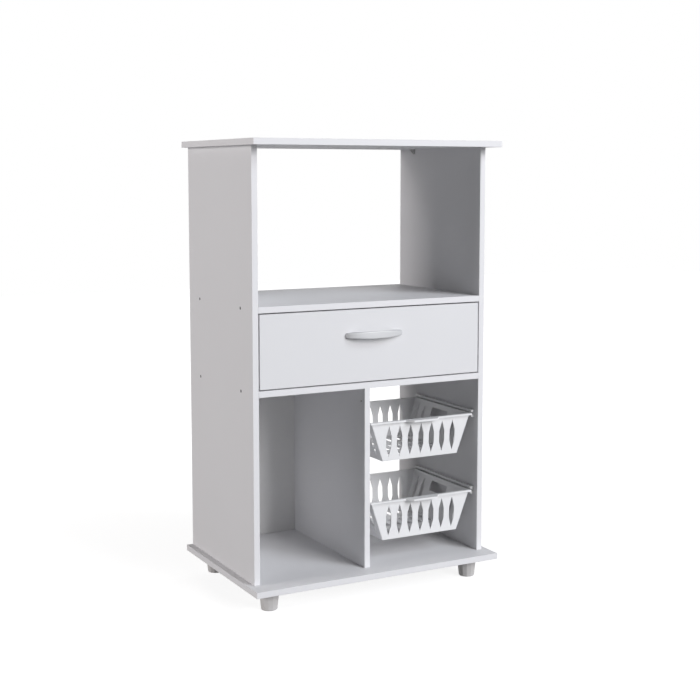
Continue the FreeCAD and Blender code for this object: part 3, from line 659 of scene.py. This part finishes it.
def make_rim(sizes):
    """A flange with a pull tab in front, and a turned-down lip all round."""
    front = basket_low.y + sizes.tab_projection
    corner_y = front + sizes.rim_corner_length
    flank_y = corner_y + sizes.rim_corner_cut
    front_side = basket_side - sizes.rim_corner_inset
    right_half = [
        (sizes.tab_front_length / 2, basket_low.y),
        (sizes.tab_length / 2, front),
        (front_side, front),
        (front_side, corner_y),
        (basket_side, flank_y),
        (basket_side, basket_high.y),
    ]
    outline = right_half + [(-x, y) for x, y in reversed(right_half)]
    bottom = basket_high.z - sizes.rim_depth
    rim = new_mesh("rim")
    bpy.ops.mesh.merge(type="CENTER")
    move(basket_middle_x + outline[0][0], outline[0][1], bottom)
    for (x0, y0), (x1, y1) in zip(outline, outline[1:]):
        bpy.ops.mesh.extrude_vertices_move(TRANSFORM_OT_translate={"value": (x1 - x0, y1 - y0, 0.0)})
    bpy.ops.mesh.select_all(action="SELECT")
    bpy.ops.mesh.edge_face_add()
    extrude(0.0, 0.0, sizes.rim_depth)
    bpy.ops.mesh.select_all(action="SELECT")
    bpy.ops.mesh.normals_make_consistent(inside=False)
    select("FACE", lambda face: face.normal.z < -NEARLY)
    bpy.ops.mesh.inset(thickness=sizes.wall, use_even_offset=True)
    extrude(0.0, 0.0, sizes.rim_depth - sizes.wall)
    close_mesh()
    return rim


def make_slot(name, width, height, point, through):
    """A pointed slot's cutter: a six-sided bar along Y, with its points up and down."""
    slot = new_mesh(name)
    resize(width, through, height - 2 * point)
    for sign in (-1.0, 1.0):
        select("FACE", lambda face: face.normal.z * sign > NEARLY)
        extrude(0.0, 0.0, sign * point)
        resize(0.0, 1.0, 1.0)
    close_mesh()
    return slot


def turn_slot(slot, axis):
    """Turn a cutter by a quarter about an axis through the origin."""
    edit_all(slot)
    bpy.ops.transform.rotate(value=math.pi / 2, orient_axis=axis, center_override=(0.0, 0.0, 0.0))
    bpy.ops.object.mode_set(mode="OBJECT")


def place_slots(slot, centre):
    """Move a cutter, or a row of them, from the origin to its place."""
    edit_all(slot)
    move(*centre)
    bpy.ops.object.mode_set(mode="OBJECT")


def repeat_slots(slot, times, x, y):
    """A row of cutters, even about the first one's place."""
    apply_modifier(
        slot, "ARRAY", count=times, use_relative_offset=False, use_constant_offset=True,
        constant_offset_displace=(x, y, 0.0),
    )
    middle = (times - 1) / 2
    place_slots(slot, (-x * middle, -y * middle, 0.0))


def make_basket(sizes):
    """The upper basket: tub and rim as one moulding, with slots and hand windows cut through."""
    top = basket_high.z
    bottom = basket_low.z
    middle_y = (basket_low.y + sizes.tab_projection + basket_high.y) / 2
    slot_height = top - bottom - sizes.slot_below_rim - sizes.slot_above_floor
    slot_z = top - sizes.slot_below_rim - slot_height / 2
    # Long enough to pass through both walls
    through = 4 * basket_side

    basket = make_rim(sizes)
    combine(basket, make_tub(sizes, 0.0, bottom, top - sizes.wall / 2), "UNION")
    hollow = make_tub(sizes, sizes.wall, bottom + sizes.wall, top + sizes.overshoot)
    combine(basket, hollow, "DIFFERENCE")

    end_slots = make_slot("end_slots", sizes.slot_width, slot_height, sizes.slot_point, through)
    repeat_slots(end_slots, sizes.slot_count, sizes.slot_pitch, 0.0)
    place_slots(end_slots, (basket_middle_x, middle_y, slot_z))
    combine(basket, end_slots, "DIFFERENCE")

    for y in (sizes.side_slot_start, sizes.side_slot_start + sizes.slot_pitch):
        side_slots = make_slot("side_slots", sizes.slot_width, slot_height, sizes.slot_point, through)
        turn_slot(side_slots, "Z")
        repeat_slots(side_slots, 2, 0.0, 2 * y)
        place_slots(side_slots, (basket_middle_x, middle_y, slot_z))
        combine(basket, side_slots, "DIFFERENCE")

    window = make_slot("window", sizes.window_height, sizes.window_length, sizes.window_point, through)
    turn_slot(window, "Z")
    turn_slot(window, "X")
    window_z = top - sizes.window_below_rim - sizes.window_height / 2
    place_slots(window, (basket_middle_x, middle_y, window_z))
    combine(basket, window, "DIFFERENCE")

    floor_slots = make_slot(
        "floor_slots", sizes.slot_width, sizes.floor_slot_length, sizes.floor_slot_point,
        2 * sizes.overshoot,
    )
    turn_slot(floor_slots, "X")
    repeat_slots(floor_slots, sizes.slot_count, sizes.slot_pitch, 0.0)
    repeat_slots(floor_slots, sizes.floor_rows, 0.0, sizes.floor_slot_length + sizes.floor_slot_gap)
    place_slots(floor_slots, (basket_middle_x, middle_y, bottom))
    combine(basket, floor_slots, "DIFFERENCE")

    round_edges(basket, sizes.edge_round, sizes.smooth_angle)
    basket.name = "moulded_upper_basket"
    return basket


# Handle
def ellipse_depth(half_length, rise, x):
    """How far half an ellipse stands out at a place along its chord."""
    return rise * math.sqrt(max(0.0, 1.0 - (x / half_length) ** 2))


def make_handle(sizes):
    """A bow, half an ellipse in plan, that swells towards its middle, with round edges and tips."""
    half = (handle_high.x - handle_low.x) / 2
    projection = handle_high.y - handle_low.y
    middle_height = handle_high.z - handle_low.z
    middle_z = (handle_high.z + handle_low.z) / 2
    handle = new_mesh("bow_handle")
    resize(2 * half, 1.0, 1.0)
    select("EDGE", lambda edge: abs(edge.verts[0].co.x - edge.verts[1].co.x) > half)
    bpy.ops.mesh.subdivide(number_cuts=sizes.steps - 1)
    # The sections crowd towards the tips, where the ellipse turns. The outer ones move first,
    # so that no section moves onto one that hasn't moved yet.
    spread = sorted(range(sizes.steps + 1), key=lambda step: -abs(2 * step - sizes.steps))
    for step in spread:
        share = 2 * step / sizes.steps - 1
        x = half * math.sin(share * math.pi / 2)
        outer = max(sizes.tip_thickness, ellipse_depth(half, projection, x))
        inner = ellipse_depth(half - sizes.foot_length, projection - sizes.thickness, x)
        height = sizes.end_height + (middle_height - sizes.end_height) * (1.0 - (x / half) ** 2)
        into_tip = max(0.0, abs(x) - half + sizes.end_round)
        height = max(sizes.tip_height, ellipse_depth(sizes.end_round, height, into_tip))
        select("VERT", lambda vertex: abs(vertex.co.x - half * share) < half / sizes.steps)
        resize(1.0, outer - inner, height)
        move(x - half * share, handle_high.y - (outer + inner) / 2, middle_z)
    select("EDGE", lambda edge: abs(edge.verts[0].co.x - edge.verts[1].co.x) > ACROSS)
    bpy.ops.mesh.bevel(offset_type="PERCENT", offset_pct=sizes.edge_round, segments=6, affect="EDGES")
    close_mesh()
    bpy.ops.object.shade_smooth_by_angle(angle=sizes.smooth_angle)
    return handle


# Feet
def make_foot(sizes):
    """The front left foot: a tapered twelve-sided block with a bore for its screw."""
    centre = (foot_low + foot_high) / 2
    top_radius = (foot_high.x - foot_low.x) / 2
    height = foot_high.z - foot_low.z
    bottom_radius = sizes.bottom_diameter / 2
    taper = bottom_radius / top_radius
    bore_inset = bottom_radius - sizes.bottom_round - sizes.bore_diameter / 2
    near_floor = sizes.corner_round - height / 2
    bpy.ops.object.select_all(action="DESELECT")
    bpy.ops.mesh.primitive_cylinder_add(
        vertices=sizes.sides, radius=top_radius, depth=height, end_fill_type="NGON",
        location=(0.0, 0.0, 0.0),
    )
    foot = bpy.context.object
    bpy.ops.object.mode_set(mode="EDIT")
    select("VERT", lambda vertex: vertex.co.z < 0)
    resize(taper, taper, 1.0, (0.0, 0.0, -height / 2))
    select("EDGE", lambda edge: abs(edge.verts[0].co.z - edge.verts[1].co.z) > height / 2)
    bpy.ops.mesh.bevel(offset=sizes.corner_round, offset_type="OFFSET", segments=2, affect="EDGES")
    select("EDGE", lambda edge: max(vertex.co.z for vertex in edge.verts) < near_floor)
    bpy.ops.mesh.bevel(offset=sizes.bottom_round, offset_type="OFFSET", segments=4, affect="EDGES")
    select("FACE", lambda face: face.normal.z < -FULLY)
    bpy.ops.mesh.inset(thickness=bore_inset, use_even_offset=False)
    extrude(0.0, 0.0, height - sizes.floor_thickness)
    bpy.ops.mesh.select_all(action="SELECT")
    move(centre.x, centre.y, centre.z)
    close_mesh()
    bpy.ops.object.shade_smooth_by_angle(angle=sizes.smooth_angle)
    foot.name = "front_left_foot_moulding"
    return foot


# Stage
def seen_directly(surface):
    """1 where the camera sees the surface, also in a mirror or through glass."""
    rays = [
        surface.node("ShaderNodeLightPath", output=name)
        for name in ("Is Camera Ray", "Is Glossy Ray", "Is Transmission Ray")
    ]
    return surface.node("ShaderNodeClamp", None, {"Value": rays[0] + rays[1] + rays[2]})


def make_floor(sizes):
    """A pale floor that looks white where it is lit and keeps the shadow."""
    bpy.ops.object.select_all(action="DESELECT")
    bpy.ops.mesh.primitive_plane_add(size=sizes.floor_width, location=(0.0, 0.0, -sizes.floor_drop))
    floor = bpy.context.object
    floor.name = "studio_floor"
    surface = Surface("studio_floor")
    cloud = surface.noise(size=0.5)
    surface.set(Base_Color=surface.mix(cloud, sizes.floor_dark, sizes.floor_pale), Roughness=0.9)
    seen = seen_directly(surface)
    away = surface.node("ShaderNodeVectorMath", {"operation": "LENGTH"}, {0: surface.place()}, "Value")
    reach = {
        "Value": away, "From Min": sizes.glow_near, "From Max": sizes.glow_far,
        "To Min": sizes.floor_glow, "To Max": 1.0,
    }
    strength = surface.node("ShaderNodeMapRange", {"interpolation_type": "SMOOTHSTEP"}, reach)
    glow = surface.node("ShaderNodeEmission", None, {"Color": WHITE, "Strength": strength})
    plain = Value(surface, surface.shader.outputs[0])
    bright = surface.node("ShaderNodeAddShader", None, {0: plain, 1: glow})
    shown = surface.node("ShaderNodeMixShader", None, {0: seen, 1: plain, 2: bright})
    surface.feed(surface.tree.nodes["Material Output"].inputs["Surface"], shown)
    floor.data.materials.append(surface.material)


class Sky(Surface):
    """The world's nodes."""

    def __init__(self, name):
        self.world = bpy.data.worlds.new(name)
        self.world.use_nodes = True
        self.tree = self.world.node_tree
        self.shader = self.tree.nodes["Background"]


def make_sky(sizes):
    """A faint light from all around, which the camera sees as white."""
    sky = Sky("studio_sky")
    seen = seen_directly(sky)
    sky.set(Color=WHITE, Strength=sizes.sky + (1.0 - sizes.sky) * seen)
    bpy.context.scene.world = sky.world


def make_lamp(name, watts, position, width, tint):
    """A soft square lamp that faces the cabinet's middle."""
    lamp = bpy.data.lights.new(name, "AREA")
    lamp.energy = watts
    lamp.size = width
    lamp.color = tint
    holder = bpy.data.objects.new(name, lamp)
    bpy.context.scene.collection.objects.link(holder)
    holder.location = position
    aim = Vector((0.0, 0.0, cad_box[1].z / 2)) - Vector(position)
    holder.rotation_euler = aim.to_track_quat("-Z", "Y").to_euler()


def make_camera(sizes):
    """The camera, level from side to side."""
    camera = bpy.data.cameras.new("camera")
    camera.lens = sizes.camera_lens
    camera.sensor_width = sizes.sensor_width
    camera.shift_x = sizes.shift_x
    camera.shift_y = sizes.shift_y
    holder = bpy.data.objects.new("camera", camera)
    bpy.context.scene.collection.objects.link(holder)
    holder.location = sizes.camera_place
    holder.rotation_euler = (math.pi / 2 - sizes.camera_pitch, 0.0, sizes.camera_yaw)
    bpy.context.scene.camera = holder


# Steps
class CABINET_OT_finish_boards(bpy.types.Operator):
    """Give the boards their melamine faces and taped edges"""

    bl_idname = "cabinet.finish_boards"
    bl_label = "Finish boards"
    bl_options = {"REGISTER", "UNDO"}

    def execute(self, context):
        dress(board_finish("flat_board", "Z"), *FLAT_BOARDS)
        dress(board_finish("upright_board", "X"), *UPRIGHT_BOARDS)
        dress(divider_finish(context.scene.cabinet_divider), "centre_divider")
        dress(board_finish("cross_board", "Y"), *CROSS_BOARDS)
        return {"FINISHED"}


class CABINET_OT_finish_sheets(bpy.types.Operator):
    """Give the back sheets and the drawer bottom their finishes"""

    bl_idname = "cabinet.finish_sheets"
    bl_label = "Finish sheets"
    bl_options = {"REGISTER", "UNDO"}

    def execute(self, context):
        dress(sheet_finish(), *BACK_SHEETS)
        dress(board_finish("drawer_bottom_sheet", "Z"), "drawer_bottom")
        return {"FINISHED"}


class CABINET_OT_finish_fittings(bpy.types.Operator):
    """Give the brackets, runners, rails, rollers and fasteners their finishes"""

    bl_idname = "cabinet.finish_fittings"
    bl_label = "Finish fittings"
    bl_options = {"REGISTER", "UNDO"}

    def execute(self, context):
        tones = context.scene.cabinet_finishes
        # The bracket plastic's grey is partly painted shade
        bracket = moulded_finish("bracket_plastic_with_painted_shade", tones.bracket, roughness=0.5, grain_depth=0.00005)
        runner = moulded_finish("runner_plastic", tones.basket, roughness=0.42, grain_depth=0.00004)
        nylon = moulded_finish("roller_nylon", tones.nylon, roughness=0.45, grain_depth=0.00003)
        dress(bracket, *BRACKETS)
        dress(runner, *BASKET_RUNNERS)
        dress(epoxy_finish(tones.rail), *RAILS)
        dress(nylon, *ROLLERS)
        dress(zinc_finish("zinc_plate", tones.zinc), *FASTENERS)
        # Painted shade: the shelf screws get the same zinc, darkened so that their heads look dark
        dress(zinc_finish("dull_zinc_plate", tones.shade_painted_zinc), "shelf_screws")
        dress(beech_finish(tones.beech), "top_dowels")
        return {"FINISHED"}


class CABINET_OT_make_baskets(bpy.types.Operator):
    """Model the moulded baskets"""

    bl_idname = "cabinet.make_baskets"
    bl_label = "Make baskets"
    bl_options = {"REGISTER", "UNDO"}

    def execute(self, context):
        tone = context.scene.cabinet_finishes.basket
        plastic = moulded_finish("basket_plastic", tone, roughness=0.40, grain_depth=0.00004)
        upper = make_basket(context.scene.cabinet_baskets)
        drop = lower_basket_high.z - basket_high.z
        lower = copy_piece(upper, "moulded_lower_basket", 0.0, 0.0, drop)
        hand_in(upper, plastic, "upper_basket", "upper_basket")
        hand_in(lower, plastic, "lower_basket", "lower_basket")
        return {"FINISHED"}


class CABINET_OT_make_handle(bpy.types.Operator):
    """Model the drawer's bow handle"""

    bl_idname = "cabinet.make_handle"
    bl_label = "Make handle"
    bl_options = {"REGISTER", "UNDO"}

    def execute(self, context):
        tone = context.scene.cabinet_finishes.handle
        along_bow = (0.15, 1.0, 1.0)
        silver = silver_finish("handle_silver", tone, metallic=0.15, roughness=0.45, brush=along_bow)
        handle = make_handle(context.scene.cabinet_handle)
        hand_in(handle, silver, "drawer", "drawer_handle")
        return {"FINISHED"}


class CABINET_OT_make_feet(bpy.types.Operator):
    """Model the four twelve-sided feet"""

    bl_idname = "cabinet.make_feet"
    bl_label = "Make feet"
    bl_options = {"REGISTER", "UNDO"}

    def execute(self, context):
        tone = context.scene.cabinet_finishes.foot
        upright = (1.0, 1.0, 0.4)
        silver = silver_finish("foot_silver", tone, metallic=0.05, roughness=0.40, brush=upright)
        first = make_foot(context.scene.cabinet_feet)
        feet = [first]
        for node in FOOT_NODES[1:]:
            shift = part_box(node)[0] - foot_low
            feet.append(copy_piece(first, node + "_moulding", shift.x, shift.y, shift.z))
        for foot, node in zip(feet, FOOT_NODES):
            hand_in(foot, silver, "cabinet", node)
        return {"FINISHED"}


class CABINET_OT_make_studio(bpy.types.Operator):
    """Set up the floor, the lamps and the camera"""

    bl_idname = "cabinet.make_studio"
    bl_label = "Make studio"
    bl_options = {"REGISTER", "UNDO"}

    def execute(self, context):
        sizes = context.scene.cabinet_studio
        make_floor(sizes)
        make_sky(sizes)
        make_lamp("key_lamp", sizes.key_power, sizes.key_place, sizes.key_width, sizes.key_tint)
        make_lamp("high_lamp", sizes.high_power, sizes.high_place, sizes.high_width, sizes.high_tint)
        make_lamp("side_lamp", sizes.side_power, sizes.side_place, sizes.side_width, sizes.side_tint)
        make_lamp("back_lamp", sizes.back_power, sizes.back_place, sizes.back_width, sizes.back_tint)
        make_camera(sizes)
        context.scene.view_settings.view_transform = "Standard"
        return {"FINISHED"}


# Panel and registration
class CABINET_PT_panel(bpy.types.Panel):
    """Lists the steps that dress the cabinet"""

    bl_label = "Cabinet"
    bl_idname = "CABINET_PT_panel"
    bl_space_type = "VIEW_3D"
    bl_region_type = "UI"
    bl_category = "Cabinet"

    def draw(self, context):
        for step in STEPS:
            self.layout.operator(step.bl_idname)


SETTINGS = {
    "cabinet_finishes": FinishSettings,
    "cabinet_divider": DividerSettings,
    "cabinet_baskets": BasketSettings,
    "cabinet_handle": HandleSettings,
    "cabinet_feet": FootSettings,
    "cabinet_studio": StudioSettings,
}
STEPS = (
    CABINET_OT_finish_boards,
    CABINET_OT_finish_sheets,
    CABINET_OT_finish_fittings,
    CABINET_OT_make_baskets,
    CABINET_OT_make_handle,
    CABINET_OT_make_feet,
    CABINET_OT_make_studio,
)


def register():
    for group in (*SETTINGS.values(), *STEPS, CABINET_PT_panel):
        bpy.utils.register_class(group)
    for name, group in SETTINGS.items():
        setattr(bpy.types.Scene, name, bpy.props.PointerProperty(type=group))


def unregister():
    for name in SETTINGS:
        delattr(bpy.types.Scene, name)
    for group in (CABINET_PT_panel, *reversed(STEPS), *SETTINGS.values()):
        bpy.utils.unregister_class(group)


def main():
    register()
    bpy.ops.cabinet.finish_boards()
    bpy.ops.cabinet.finish_sheets()
    bpy.ops.cabinet.finish_fittings()
    bpy.ops.cabinet.make_baskets()
    bpy.ops.cabinet.make_handle()
    bpy.ops.cabinet.make_feet()
    bpy.ops.cabinet.make_studio()


if __name__ == "__main__":
    main()
